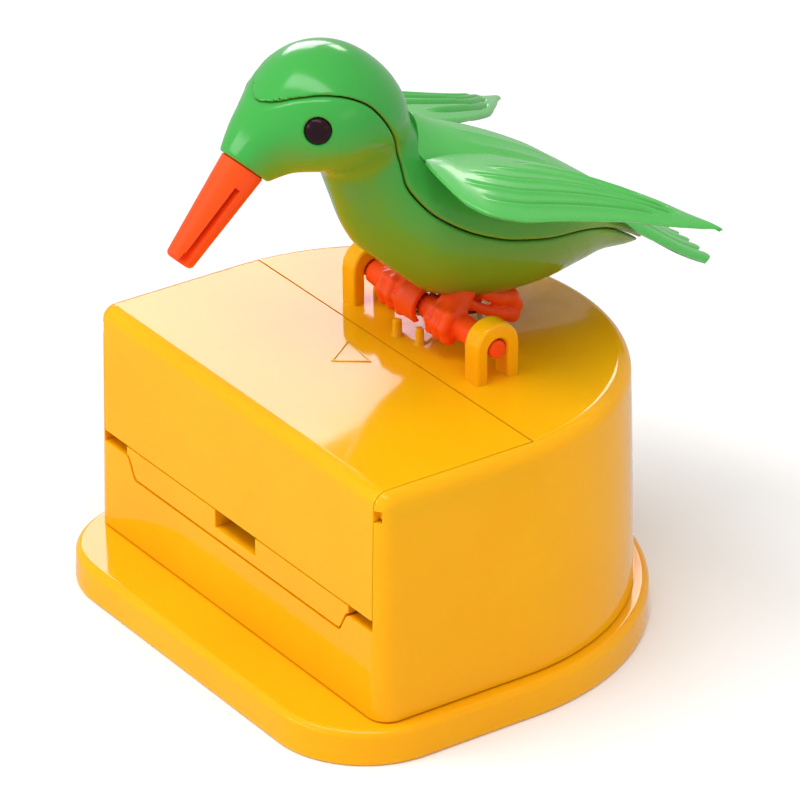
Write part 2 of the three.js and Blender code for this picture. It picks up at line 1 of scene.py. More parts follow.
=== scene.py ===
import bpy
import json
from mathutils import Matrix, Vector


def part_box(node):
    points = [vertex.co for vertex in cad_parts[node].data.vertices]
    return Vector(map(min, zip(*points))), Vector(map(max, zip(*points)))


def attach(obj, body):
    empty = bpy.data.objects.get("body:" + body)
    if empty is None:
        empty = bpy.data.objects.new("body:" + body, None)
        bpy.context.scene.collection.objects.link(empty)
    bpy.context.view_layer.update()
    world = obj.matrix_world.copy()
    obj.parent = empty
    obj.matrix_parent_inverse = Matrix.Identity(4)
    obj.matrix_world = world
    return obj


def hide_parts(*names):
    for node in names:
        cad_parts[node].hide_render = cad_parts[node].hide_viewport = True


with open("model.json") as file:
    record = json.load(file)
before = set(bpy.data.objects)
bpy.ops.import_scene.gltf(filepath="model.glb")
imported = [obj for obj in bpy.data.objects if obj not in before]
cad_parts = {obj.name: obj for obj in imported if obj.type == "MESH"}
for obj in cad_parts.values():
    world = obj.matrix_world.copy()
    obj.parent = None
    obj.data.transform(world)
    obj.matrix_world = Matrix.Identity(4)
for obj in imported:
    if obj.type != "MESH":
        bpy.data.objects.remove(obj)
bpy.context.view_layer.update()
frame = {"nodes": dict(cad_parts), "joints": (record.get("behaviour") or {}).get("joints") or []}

import json
import math

import bmesh
import bpy
import numpy as np
from mathutils import Matrix, Vector

# Everything below is in millimetres until mesh_object() writes metres.
MM = 0.001


def mm_box(node):
    return [np.array(corner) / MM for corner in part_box(node)]


BASE_LO, BASE_HI = mm_box("base_plate")
SHELL_LO, SHELL_HI = mm_box("box_shell")
LID_LO, LID_HI = mm_box("front_lid")
PIVOT = np.array(next(j for j in frame["joints"] if j["name"] == "bird_bow")["pos_m"]) / MM

DECK = LID_HI[2] - 0.2            # the lid carries a 0.2 mm ridge
BASE_T = BASE_HI[2]
HALF = SHELL_HI[0]                # box half width
FRONT = SHELL_LO[1]               # y of the box front
REAR_CENTRE = SHELL_HI[1] - HALF  # y where the half-round back starts
LID_HALF = LID_HI[0] - 1.0        # without its side tongues
SEAM = LID_HI[1]                  # back edge of the lid
LID_BOTTOM = LID_LO[2]
GAP = 0.3
WALL = 2.4
BOX_CORNER = 3.4
DRAFT = 0.8                       # how far the walls lean in by the top
TOP_ROUND = 2.4
BASE_CORNER = 16
BASE_RIM = 2.0                    # wall and top of the base, which is open below
WALL_TOP = BASE_T + 11.5          # front wall, below the lip
POST_TOP = BASE_T + 15.0          # front wall at its two ends
LIP_HALF = 31
WINDOW_HALF = 5.6
WINDOW_SILL = BASE_T + 13.6
# Heights of the slide groove in the box, and of the lid's tongue that runs in it.
GROOVE = (DECK - 4.7, DECK - 2.7)
TONGUE = (DECK - 4.4, DECK - 3.0)
PIVOT_Y, PIVOT_Z = PIVOT[1], PIVOT[2]
LUG_OUTER, LUG_T, LUG_W, LUG_H, SLOT_W = 18.4, 3.6, 7.9, 9.6, 3.6


# ---- Mesh helpers --------------------------------------------------------------------------
def mesh_object(name, verts, faces, sharp=35.0):
    """A mesh object from points in millimetres, smooth except over edges sharper than sharp."""
    mesh = bpy.data.meshes.new(name)
    points = (np.asarray(verts, dtype=float) * MM).tolist()
    mesh.from_pydata(points, [], [list(map(int, face)) for face in faces])
    mesh.update()
    obj = bpy.data.objects.new(name, mesh)
    bpy.context.collection.objects.link(obj)
    finish_mesh(obj, sharp)
    return obj


def finish_mesh(obj, sharp=35.0):
    mesh = obj.data
    edit = bmesh.new()
    edit.from_mesh(mesh)
    bmesh.ops.remove_doubles(edit, verts=edit.verts, dist=1e-6)
    bmesh.ops.recalc_face_normals(edit, faces=edit.faces)
    edit.to_mesh(mesh)
    edit.free()
    mesh.polygons.foreach_set("use_smooth", [True] * len(mesh.polygons))
    if sharp:
        mesh.set_sharp_from_angle(angle=math.radians(sharp))


def bake_modifiers(obj):
    """Puts the modifiers' result into the mesh."""
    graph = bpy.context.evaluated_depsgraph_get()
    mesh = bpy.data.meshes.new_from_object(obj.evaluated_get(graph))
    obj.modifiers.clear()
    obj.data = mesh


def boolean(obj, other, operation):
    mod = obj.modifiers.new("cut", "BOOLEAN")
    mod.object = other
    mod.operation = operation
    mod.solver = "EXACT"
    bake_modifiers(obj)
    bpy.data.objects.remove(other)


def soften_edges(obj, width, angle=38.0, segments=2):
    """Rounds the edges sharper than angle by width, and keeps the flat faces looking flat."""
    bevel = obj.modifiers.new("round", "BEVEL")
    bevel.width = width * MM
    bevel.segments = segments
    bevel.limit_method = "ANGLE"
    bevel.angle_limit = math.radians(angle)
    bevel.harden_normals = False
    bevel.miter_outer = "MITER_ARC"
    bake_modifiers(obj)
    obj.data.polygons.foreach_set("use_smooth", [True] * len(obj.data.polygons))
    obj.data.set_sharp_from_angle(angle=math.radians(50))
    weighted = obj.modifiers.new("flat", "WEIGHTED_NORMAL")
    weighted.keep_sharp = True
    weighted.weight = 100


def ring_loft(rings, cap=True):
    """Points and faces of a skin through rings of the same count."""
    count = len(rings[0])
    verts = np.concatenate(rings)
    faces = []
    for r in range(len(rings) - 1):
        for i in range(count):
            a, b = r * count + i, r * count + (i + 1) % count
            faces.append((a, b, b + count, a + count))
    if cap:
        faces.append(tuple(range(count - 1, -1, -1)))
        last = (len(rings) - 1) * count
        faces.append(tuple(range(last, last + count)))
    return verts, faces


def extrude(points, axis, start, end):
    """A flat outline pushed along an axis: 'x' takes (y, z) points, 'y' (x, z) and 'z' (x, y)."""
    def point(u, v, w):
        return {"x": (w, u, v), "y": (u, w, v), "z": (u, v, w)}[axis]
    rings = [[point(u, v, w) for u, v in points] for w in (start, end)]
    return ring_loft([np.array(r, dtype=float) for r in rings])


def brick(x0, x1, y0, y1, z0, z1):
    return extrude([(x0, y0), (x1, y0), (x1, y1), (x0, y1)], "z", z0, z1)


def spline(points, t, plane=None):
    """Smooth interpolation through points, at t from 0 to 1 by length. plane is how many of the
    numbers of a point say where it is."""
    points = np.asarray(points, dtype=float)
    step = np.linalg.norm(np.diff(points[:, :plane], axis=0), axis=1)
    knot = np.concatenate([[0], np.cumsum(step)])
    slope = np.gradient(points, knot, axis=0, edge_order=2 if len(points) > 2 else 1)
    at = np.clip(np.asarray(t, dtype=float), 0, 1) * knot[-1]
    i = np.clip(np.searchsorted(knot, at, side="right") - 1, 0, len(points) - 2)
    width = step[i][..., None]
    f = ((at - knot[i]) / step[i])[..., None]
    p, q = points[i], points[i + 1]
    return ((2 * f ** 3 - 3 * f ** 2 + 1) * p + (f ** 3 - 2 * f ** 2 + f) * width * slope[i]
            + (3 * f ** 2 - 2 * f ** 3) * q + (f ** 3 - f ** 2) * width * slope[i + 1])


def sheet_mesh(top, under):
    """A closed skin from two grids of points (rows, columns, 3)."""
    rows, cols, _ = top.shape
    verts = np.concatenate([top.reshape(-1, 3), under.reshape(-1, 3)])
    shift = rows * cols
    faces = []
    for r in range(rows - 1):
        for c in range(cols - 1):
            a = r * cols + c
            quad = (a, a + 1, a + 1 + cols, a + cols)
            faces.append(quad)
            faces.append(tuple(q + shift for q in reversed(quad)))
    rim = list(range(cols)) + [r * cols + cols - 1 for r in range(1, rows)]
    rim += [(rows - 1) * cols + c for c in range(cols - 2, -1, -1)]
    rim += [r * cols for r in range(rows - 2, 0, -1)]
    for a, b in zip(rim, rim[1:] + rim[:1]):
        faces.append((b, a, a + shift, b + shift))
    return verts, faces


def lathe(name, profile, at, axis, steps=48, sharp=35.0):
    """A turned form: profile of (radius, height) pairs, laid from at along axis."""
    turn = Vector((0, 0, 1)).rotation_difference(Vector(axis)).to_matrix()
    verts, faces = [], []
    for r, h in profile:
        for i in range(steps):
            a = 2 * math.pi * i / steps
            verts.append(turn @ Vector((r * math.cos(a), r * math.sin(a), h)) + Vector(at))
    for j in range(len(profile) - 1):
        for i in range(steps):
            a, b = j * steps + i, j * steps + (i + 1) % steps
            faces.append((a, b, b + steps, a + steps))
    return mesh_object(name, verts, faces, sharp)


# ---- Smooth bodies from a distance field ---------------------------------------------------
def surface_nets(field, low, high, step, settle=3):
    """A closed smooth skin where field(x, y, z) crosses zero, negative inside."""
    low, high = np.array(low, float), np.array(high, float)
    count = np.ceil((high - low) / step).astype(int) + 1
    x, y, z = [low[a] + step * np.arange(count[a]) for a in range(3)]
    value = np.asarray(field(x[:, None, None], y[None, :, None], z[None, None, :]))
    value = np.broadcast_to(value, tuple(count)).astype(np.float32)
    inside = value < 0
    cells = tuple(count - 1)
    total = np.zeros(cells + (3,), np.float32)
    hits = np.zeros(cells, np.float32)
    crossings = []
    for axis in range(3):
        u, v = [a for a in range(3) if a != axis]
        head, tail = [slice(None)] * 3, [slice(None)] * 3
        head[axis], tail[axis] = slice(0, -1), slice(1, None)
        fa, fb = value[tuple(head)], value[tuple(tail)]
        cross = inside[tuple(head)] != inside[tuple(tail)]
        along = np.where(cross, fa / np.where(cross, fa - fb, 1), 0)
        crossings.append((axis, cross, inside[tuple(head)]))
        for du in (0, 1):
            for dv in (0, 1):
                part = [slice(None)] * 3
                part[u] = slice(du, count[u] - 1 + du)
                part[v] = slice(dv, count[v] - 1 + dv)
                hit = cross[tuple(part)].astype(np.float32)
                total[..., axis] += along[tuple(part)] * hit
                total[..., u] += du * hit
                total[..., v] += dv * hit
                hits += hit
    active = hits > 0
    ids = np.full(cells, -1, dtype=np.int64)
    ids[active] = np.arange(active.sum())
    where = np.argwhere(active)
    points = (where + total[active] / hits[active][:, None]) * step + low
    faces = []
    for axis, cross, starts_inside in crossings:
        u, v = [a for a in range(3) if a != axis]
        at = np.argwhere(cross)
        keep = ((at[:, u] > 0) & (at[:, u] < count[u] - 1)
                & (at[:, v] > 0) & (at[:, v] < count[v] - 1))
        at = at[keep]
        corners = []
        for du, dv in ((-1, -1), (0, -1), (0, 0), (-1, 0)):
            cell = at.copy()
            cell[:, u] += du
            cell[:, v] += dv
            corners.append(ids[cell[:, 0], cell[:, 1], cell[:, 2]])
        quads = np.stack(corners, axis=1)
        flip = starts_inside[at[:, 0], at[:, 1], at[:, 2]] == (axis == 1)
        quads[flip] = quads[flip][:, ::-1]
        faces.append(quads)
    # The points then settle onto the zero crossing, none by more than part of a grid step at once.
    points = points.astype(float)
    nudge, longest = step * 0.2, step * 0.4
    flattest = 0.05
    for _ in range(settle):
        here = field(*points.T)
        slope = np.stack([
            (field(*(points + offset).T) - field(*(points - offset).T)) / (2 * nudge)
            for offset in nudge * np.eye(3)
        ], axis=1)
        steepness = np.maximum((slope ** 2).sum(axis=1), flattest)
        move = -(here / steepness)[:, None] * slope
        length = np.linalg.norm(move, axis=1, keepdims=True)
        points += move * np.minimum(1, longest / np.maximum(length, 1e-9))
    return points, np.concatenate(faces)


def smooth_min(a, b, k):
    """The smaller of two distances, blended where they differ by less than k."""
    h = np.clip(0.5 + 0.5 * (b - a) / k, 0, 1)
    return b + (a - b) * h - k * h * (1 - h)


def smooth_max(a, b, k):
    return -smooth_min(-a, -b, k)


class SideTable:
    """Values over the side view (y, z), worked out once on a grid and read back smoothly."""

    def __init__(self, function, low, high, step=0.5):
        self.low, self.step = np.array(low, float), step
        count = np.ceil((np.array(high) - low) / step).astype(int) + 1
        y = low[0] + step * np.arange(count[0])[:, None]
        z = low[1] + step * np.arange(count[1])[None, :]
        self.values = np.stack(np.broadcast_arrays(*function(y, z)), axis=-1)

    def __call__(self, y, z):
        total = 0.0
        at, weights = [], []
        for axis, value in enumerate(np.broadcast_arrays(y, z)):
            last = self.values.shape[axis] - 3.001
            cell = np.clip((value - self.low[axis]) / self.step, 1, last)
            whole = np.floor(cell).astype(int)
            f = cell - whole
            at.append(whole)
            weights.append(((1 - f) ** 3 / 6, (3 * f ** 3 - 6 * f ** 2 + 4) / 6,
                            (-3 * f ** 3 + 3 * f ** 2 + 3 * f + 1) / 6, f ** 3 / 6))
        for i in range(4):
            for j in range(4):
                weight = (weights[0][i] * weights[1][j])[..., None]
                total = total + weight * self.values[at[0] + i - 1, at[1] + j - 1]
        return np.moveaxis(total, -1, 0)


# The part of the side view that the bird takes up, as two (y, z) corners.
SIDE_LOW, SIDE_HIGH = (-36.0, DECK - 4), (54.0, DECK + 62)


def tube_table(stations, steps=240):
    """Reach, half height and half width of an elliptic tube in the middle plane. Stations: y,
    height over the deck, half height, half width."""
    line = spline(np.array(stations, float), np.linspace(0, 1, steps + 1), 2)
    line[:, 1] += DECK

    def nearest(y, z):
        best = np.full(np.broadcast(y, z).shape, np.inf)
        high = np.zeros_like(best)
        wide = np.zeros_like(best)
        for a, b in zip(line[:-1], line[1:]):
            dy, dz = b[0] - a[0], b[1] - a[1]
            t = np.clip(((y - a[0]) * dy + (z - a[1]) * dz) / (dy * dy + dz * dz), 0, 1)
            away = np.hypot(y - a[0] - t * dy, z - a[1] - t * dz)
            h = a[2] + (b[2] - a[2]) * t
            w = a[3] + (b[3] - a[3]) * t
            nearer = away / h < best
            high = np.where(nearer, h, high)
            wide = np.where(nearer, w, wide)
            best = np.where(nearer, away / h, best)
        return best ** 2, high, wide
    return SideTable(nearest, SIDE_LOW, SIDE_HIGH)


def tube_field(table, x, y, z):
    """Distance to the tube of a table."""
    reach, high, wide = table(y, z)
    return (np.sqrt(np.maximum(reach, 0) + (x / wide) ** 2) - 1) * np.minimum(high, wide)


def capsule(x, y, z, a, b, ra, rb):
    """Distance to a round bar from a to b, which tapers from radius ra to rb."""
    d = np.subtract(b, a)
    px, py, pz = x - a[0], y - a[1], z - a[2]
    t = np.clip((px * d[0] + py * d[1] + pz * d[2]) / (d @ d), 0, 1)
    away = np.sqrt((px - t * d[0]) ** 2 + (py - t * d[1]) ** 2 + (pz - t * d[2]) ** 2)
    return away - (ra + (rb - ra) * t)


def chain(x, y, z, points, radii, k=0.5):
    """Distance to round bars joined end to end."""
    bars = [capsule(x, y, z, *bar) for bar in zip(points, points[1:], radii, radii[1:])]
    total = bars[0]
    for bar in bars[1:]:
        total = smooth_min(total, bar, k)
    return total


# ---- Materials -----------------------------------------------------------------------------
def colour_mix(tree, factor, a, b):
    """A mix of two colours, each a tuple or the output of a node."""
    mix = tree.nodes.new("ShaderNodeMix")
    mix.data_type = "RGBA"
    tree.links.new(factor, mix.inputs[0])
    for socket, value in ((mix.inputs[6], a), (mix.inputs[7], b)):
        if isinstance(value, tuple):
            socket.default_value = (*value, 1)
        else:
            tree.links.new(value, socket)
    return mix.outputs[2]


def noise(tree, where, scale, detail=2.0, rough=0.5):
    node = tree.nodes.new("ShaderNodeTexNoise")
    node.inputs["Scale"].default_value = scale
    node.inputs["Detail"].default_value = detail
    node.inputs["Roughness"].default_value = rough
    tree.links.new(where, node.inputs["Vector"])
    return node.outputs["Fac"]


def remap(tree, value, low, high, to_low, to_high):
    """Takes low..high smoothly to to_low..to_high."""
    node = tree.nodes.new("ShaderNodeMapRange")
    for i, number in enumerate((low, high, to_low, to_high), start=1):
        node.inputs[i].default_value = number
    node.interpolation_type = "SMOOTHSTEP"
    tree.links.new(value, node.inputs[0])
    return node.outputs[0]


def bump(tree, height, strength, rise):
    node = tree.nodes.new("ShaderNodeBump")
    node.inputs["Strength"].default_value = strength
    node.inputs["Distance"].default_value = rise
    tree.links.new(height, node.inputs["Height"])
    return node


def plastic(name, colour, shade, rough, painted_bounce_light=None, coat=0.05, grain=0.004, glow=0.06,
            depth=(1.0, 0.6, 0.3), shine=0.26):
    """Moulded plastic: slow colour drift towards shade, faint flow marks and a fine surface
    ripple. glow and depth are the light that soaks in, shine the gloss. The tint on low and
    downward surfaces is painted bounce light, standing in for light thrown up off the deck:
    (colour, z of full strength, z of none, amount)."""
    material = bpy.data.materials.new(name)
    material.use_nodes = True
    tree = material.node_tree
    bsdf = tree.nodes["Principled BSDF"]
    coords = tree.nodes.new("ShaderNodeTexCoord")
    where = coords.outputs["Object"]
    drift = remap(tree, noise(tree, where, 28, 3), 0.3, 0.7, 0, 1)
    base = colour_mix(tree, drift, colour, shade)
    stretch = tree.nodes.new("ShaderNodeMapping")
    stretch.inputs["Scale"].default_value = (1, 0.25, 3)
    tree.links.new(where, stretch.inputs["Vector"])
    flow = remap(tree, noise(tree, stretch.outputs[0], 90, 4, 0.6), 0.55, 0.8, 0, 0.35)
    base = colour_mix(tree, flow, base, shade)
    # Painted bounce light: the colour drifts to a tint low down and on faces turned down to the deck,
    # standing in for light thrown up off the deck.
    if painted_bounce_light:
        bounce_light_tint, full, none, amount = painted_bounce_light
        split = tree.nodes.new("ShaderNodeSeparateXYZ")
        tree.links.new(where, split.inputs[0])
        low = remap(tree, split.outputs["Z"], full * MM, none * MM, amount, 0)
        base = colour_mix(tree, low, base, bounce_light_tint)
        facing = tree.nodes.new("ShaderNodeSeparateXYZ")
        tree.links.new(coords.outputs["Normal"], facing.inputs[0])
        under = remap(tree, facing.outputs["Z"], -0.55, 0.3, amount, 0)
        base = colour_mix(tree, under, base, bounce_light_tint)
    tree.links.new(base, bsdf.inputs["Base Color"])
    scuff = noise(tree, where, 420, 4, 0.65)
    tree.links.new(remap(tree, scuff, 0.35, 0.75, rough, rough + 0.05), bsdf.inputs["Roughness"])
    bsdf.inputs["Specular IOR Level"].default_value = shine
    bsdf.inputs["Coat Weight"].default_value = coat
    bsdf.inputs["Coat Roughness"].default_value = 0.06
    bsdf.inputs["Subsurface Weight"].default_value = glow
    bsdf.inputs["Subsurface Radius"].default_value = depth
    bsdf.inputs["Subsurface Scale"].default_value = 0.0025
    ripple = bump(tree, noise(tree, where, 700, 2), 0.5, grain * MM)
    wave = bump(tree, noise(tree, where, 130, 1), 0.5, grain * 5 * MM)
    tree.links.new(ripple.outputs[0], wave.inputs["Normal"])
    tree.links.new(wave.outputs[0], bsdf.inputs["Normal"])
    return material


def steel(name):
    material = bpy.data.materials.new(name)
    material.use_nodes = True
    tree = material.node_tree
    bsdf = tree.nodes["Principled BSDF"]
    coords = tree.nodes.new("ShaderNodeTexCoord")
    where = coords.outputs["Object"]
    base = colour_mix(tree, noise(tree, where, 300, 4), (0.62, 0.62, 0.64), (0.45, 0.45, 0.47))
    tree.links.new(base, bsdf.inputs["Base Color"])
    bsdf.inputs["Metallic"].default_value = 1.0
    rough = remap(tree, noise(tree, where, 900, 3), 0.3, 0.7, 0.22, 0.4)
    tree.links.new(rough, bsdf.inputs["Roughness"])
    ripple = bump(tree, noise(tree, where, 2500, 2), 0.3, 0.01 * MM)
    tree.links.new(ripple.outputs[0], bsdf.inputs["Normal"])
    return material


YELLOW = plastic(
    "yellow_plastic", (0.95, 0.435, 0.004), (0.93, 0.405, 0.003), 0.07,
    glow=0.3, depth=(1.0, 0.3, 0.03), shine=0.16,
)
# The green carries painted bounce light: a yellow-olive tint, full below 50 mm and gone above 80 mm and
# on downward faces, standing in for light thrown up off the yellow deck.
GREEN = plastic(
    "green_plastic", (0.051, 0.385, 0.062), (0.042, 0.345, 0.052), 0.16,
    painted_bounce_light=((0.215, 0.28, 0.004), 50, 80, 0.72),
)
PALE_GREEN = plastic(
    "pale_green_plastic", (0.10, 0.51, 0.10), (0.085, 0.47, 0.09), 0.24, coat=0.16,
)
ORANGE = plastic(
    "orange_plastic", (0.99, 0.085, 0.006), (0.95, 0.065, 0.005), 0.34,
    coat=0, glow=0.12, shine=0.2,
)
EYE_BLACK = plastic(
    "eye_plastic", (0.010, 0.003, 0.006), (0.03, 0.008, 0.014), 0.22, coat=0, shine=0.14,
)
STEEL = steel("screw_steel")


def place(obj, body, material, slot, *nodes):
    """Gives a piece its material and body, and hides the CAD nodes that it stands for."""
    obj.data.materials.clear()
    obj.data.materials.append(material)
    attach(obj, body)
    if nodes:
        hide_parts(*nodes)


# ---- Base and box --------------------------------------------------------------------------
def plan(half, front, centre, corner, z, inset=0.0, arc=96, corner_steps=14):
    """Points round the box or base: half-round back, straight sides, rounded front corners."""
    h, f, r = half - inset, front + inset, max(corner - inset, 0.3)
    points = [(h * math.cos(a), centre + h * math.sin(a)) for a in np.linspace(0, math.pi, arc)]
    for x, start in ((-h + r, math.pi), (h - r, 1.5 * math.pi)):
        for a in np.linspace(start, start + math.pi / 2, corner_steps):
            points.append((x + r * math.cos(a), f + r + r * math.sin(a)))
    return np.array([(x, y, z) for x, y in points])


def base_ring(inset, z):
    return plan(
        BASE_HI[0], BASE_LO[1], REAR_CENTRE, BASE_CORNER, z, inset, arc=120, corner_steps=28)


def box_ring(inset, z):
    return plan(HALF, FRONT, REAR_CENTRE, BOX_CORNER, z, inset)


def rounding(radius, steps):
    """(inset, drop) pairs round a quarter circle, from the side up to the top."""
    return [(radius * (1 - math.cos(a)), radius * (1 - math.sin(a)))
            for a in np.linspace(0, math.pi / 2, steps + 1)]


def make_base():
    """A plate hollow below, lofted from the roof of its hollow round its foot to the top."""
    foot, shoulder, top_inset = 0.6, 1.3, 12
    rings = [base_ring(BASE_RIM, BASE_T - BASE_RIM), base_ring(BASE_RIM, 0.25),
             base_ring(BASE_RIM - 0.2, 0.0), base_ring(foot, 0.0)]
    rings += [base_ring(inset, drop) for inset, drop in reversed(rounding(foot, 4))][1:]
    rings += [base_ring(0.1 + inset, BASE_T - drop) for inset, drop in rounding(shoulder, 8)]
    rings += [base_ring(top_inset, BASE_T)]
    obj = mesh_object("base", *ring_loft(rings), sharp=40)
    obj.modifiers.new("flat", "WEIGHTED_NORMAL").keep_sharp = True
    place(obj, "box", YELLOW, "yellow_plastic", "base_plate")


def box_rings(bottom, steps=8):
    """The outside of the box, lid and all, from bottom up round its top edge."""
    lean = DRAFT / (DECK - BASE_T)
    rings = [box_ring(0, bottom)]
    for side, drop in rounding(TOP_ROUND, steps):
        z = DECK - drop
        rings.append(box_ring(lean * (z - BASE_T) + side, z))
    return rings


def wall_top_line(half, clearance, steps=12):
    """The (x, z) top edge of the front wall, which steps up in a soft curve at each end."""
    start, run = 28.3 - clearance, 2.7
    right = []
    for t in np.linspace(0, 1, steps + 1):
        rise = (POST_TOP - WALL_TOP) * t * t * (3 - 2 * t)
        right.append((min(start + run * t, half), WALL_TOP + rise + clearance))
    if half > start + run:
        right.append((half, POST_TOP + clearance))
    return [(-x, z) for x, z in reversed(right)] + right


def arch(half_width, top, bottom, steps=24):
    """A (y, z) outline over the pivot: a half circle round height top, straight down to bottom."""
    points = [(PIVOT_Y + half_width * math.cos(a), top + half_width * math.sin(a))
              for a in np.linspace(0, math.pi, steps + 1)]
    return points + [(PIVOT_Y - half_width, bottom), (PIVOT_Y + half_width, bottom)]


def make_lug(side):
    inner, outer = sorted((side * (LUG_OUTER - LUG_T), side * LUG_OUTER))
    obj = mesh_object(
        "lug_left" if side > 0 else "lug_right",
        *extrude(arch(LUG_W / 2, DECK + LUG_H - LUG_W / 2, DECK - 0.6), "x", inner, outer))
    slot_outline = arch(SLOT_W / 2, PIVOT_Z, DECK - 3)
    slot = mesh_object("tool", *extrude(slot_outline, "x", inner - 1, outer + 1))
    boolean(obj, slot, "DIFFERENCE")
    soften_edges(obj, 0.55, angle=50, segments=4)
    place(obj, "box", YELLOW, "yellow_plastic")


# The two posts of the spring: (x, y, radius).
POSTS = ((-3.2, 3.1, 0.76), (1.3, 4.2, 0.7))
POST_HEIGHT = 2.75


def make_box():
    """The wall and the rear deck, open at the lid, the chute and below, with lugs and posts."""
    floor = BASE_T + GAP
    obj = mesh_object("box", *ring_loft(box_rings(floor)))
    inside = [box_ring(WALL + 0.2, floor - 3), box_ring(WALL + DRAFT, DECK - WALL)]
    boolean(obj, mesh_object("tool", *ring_loft(inside)), "DIFFERENCE")
    half = LID_HALF + GAP
    mouth = mesh_object("tool", *brick(-half, half, FRONT + WALL, 0, DECK - 10, DECK + 5))
    boolean(obj, mouth, "DIFFERENCE")
    outline = wall_top_line(half, 0) + [(half, DECK + 5), (-half, DECK + 5)]
    face = mesh_object("tool", *extrude(outline, "y", FRONT - 5, FRONT + WALL + 0.6))
    boolean(obj, face, "DIFFERENCE")
    groove = mesh_object("tool", *brick(-half - 1.2, half + 1.2, FRONT - 5, 0, *GROOVE))
    boolean(obj, groove, "DIFFERENCE")
    soften_edges(obj, 0.28, angle=40)
    place(obj, "box", YELLOW, "yellow_plastic", "box_shell")
    for side in (1, -1):
        make_lug(side)
    for i, (x, y, radius) in enumerate(POSTS, start=1):
        profile = [(0.0, -0.4), (radius + 0.3, -0.4), (radius + 0.25, 0.05), (radius, 0.4),
                   (radius * 0.97, POST_HEIGHT - 0.3), (radius * 0.7, POST_HEIGHT - 0.05),
                   (0.0, POST_HEIGHT)]
        post = lathe(f"spring_post_{i}", profile, (x, y, DECK), (0, 0, 1), 24)
        place(post, "box", YELLOW, "yellow_plastic")


def make_lid():
    """The top plate and the front panel in one, with a rail and a tongue on each side."""
    obj = mesh_object("lid", *ring_loft(box_rings(BASE_T)))
    # Half of the clearance at each side, so that the upright seams in the front stay faint.
    half = LID_HALF + 0.15
    zone = mesh_object("tool", *brick(-half, half, FRONT - 5, SEAM, LID_BOTTOM, DECK + 5))
    boolean(obj, zone, "INTERSECT")
    plate = 2.2
    under = brick(-LID_HALF - 5, LID_HALF + 5, FRONT + WALL, 5, 0, DECK - plate)
    boolean(obj, mesh_object("tool", *under), "DIFFERENCE")
    for side in (1, -1):
        x0, x1 = sorted((side * (LID_HALF - 2), side * LID_HALF))
        rail = mesh_object("tool", *brick(x0, x1, FRONT + WALL - 1, SEAM, DECK - 5, DECK - 2))
        boolean(obj, rail, "UNION")
        x0, x1 = sorted((side * (LID_HALF - 1), side * (LID_HALF + 1)))
        tongue = mesh_object("tool", *brick(x0, x1, FRONT + 2, -2, *TONGUE))
        boolean(obj, tongue, "UNION")
    soften_edges(obj, 0.35, angle=40)
    place(obj, "lid", YELLOW, "yellow_plastic", "front_lid")


def make_arrow():
    """The thin raised outline of a triangle on the lid, which points the way the lid slides."""
    centre = np.array((-1.8, -6.6))
    corners = [centre + c for c in ((0.2, -3.7), (4.0, 1.2), (-4.2, 2.5))]
    section = ((1.0, -0.1), (0.985, 0.14), (0.955, 0.17), (0.90, 0.17), (0.87, 0.14), (0.855, -0.1))
    rings = [np.array([(*(centre + (c - centre) * scale), DECK + z) for c in corners])
             for scale, z in section]
    obj = mesh_object("lid_arrow", *ring_loft(rings + [rings[0]], cap=False), sharp=60)
    place(obj, "lid", YELLOW, "yellow_plastic")


def make_chute():
    """The lip with the pick window in the box front, and the sloping tray behind it."""
    back = FRONT + WALL + 1.8
    sill = WINDOW_SILL - 0.3
    reach = LIP_HALF - 0.1

    def rise(y):
        return sill + (y - back) * 0.3

    top = LID_BOTTOM - GAP
    outline = wall_top_line(reach, GAP) + [(reach, top), (-reach, top)]
    lip = mesh_object("chute_lip", *extrude(outline, "y", FRONT + 0.35, back + 1.2))
    window = brick(-WINDOW_HALF, WINDOW_HALF, FRONT - 1, back + 3, WINDOW_SILL, DECK)
    boolean(lip, mesh_object("tool", *window), "DIFFERENCE")
    soften_edges(lip, 0.25, angle=40)
    place(lip, "box", YELLOW, "yellow_plastic", "toothpick_chute")
    tray_half, far = 34.6, 4
    slope = [(back - 1, sill - 2), (far, rise(far) - 2), (far, rise(far)), (back - 1, sill)]
    floor = mesh_object("chute_floor", *extrude(slope, "x", -tray_half, tray_half))
    soften_edges(floor, 0.3)
    place(floor, "box", YELLOW, "yellow_plastic")
    side_wall = [(back + 2, sill - 2), (far, rise(far) - 2), (far, rise(far) + 4), (back + 2, sill + 8)]
    for name, x in (("chute_cheek_right", -34.4), ("chute_cheek_left", 34.4)):
        cheek = mesh_object(name, *extrude(side_wall, "x", x - 0.8, x + 0.8))
        soften_edges(cheek, 0.3)
        place(cheek, "box", YELLOW, "yellow_plastic")


# ---- Bird body -----------------------------------------------------------------------------
# The head is a ball, flattened below its middle by the factor chin.
HEAD = {"y": -12.7, "z": DECK + 42.7, "r": 11.7, "chin": 0.64}
BEAK_BASE = np.array((0, -26.6, DECK + 38.3))
BEAK_TIP = np.array((0, -38.4, DECK + 25.7))
EYE = {"x": 9.1, "y": -19.2, "z": DECK + 45.4, "r": 1.95}
# Elliptic tubes: y, height over the deck, half height, half width.
BODY = [
    (46.6, 5.9, 0.6, 1.0), (43.5, 7.9, 2.3, 3.0), (37, 11.5, 4.9, 6.2), (30, 13.9, 7.6, 9.4),
    (22, 15.9, 10.3, 11.8), (14, 18.2, 12.0, 12.6), (7, 21.1, 11.7, 12.1), (1.8, 25.3, 10.1, 10.6),
    (-2.0, 30.4, 8.5, 9.1), (-4.7, 35.6, 7.9, 8.3), (-7, 40, 8.0, 8.2),
]
SNOUT = [
    (-13, 44.3, 8.2, 10.2), (-18, 43.5, 7.4, 8.8), (-21.8, 41.8, 6.3, 6.9),
    (-24.6, 40.0, 5.1, 5.3), (-26.9, 38.1, 4.0, 4.0), (-28.2, 37.0, 3.4, 3.4),
]
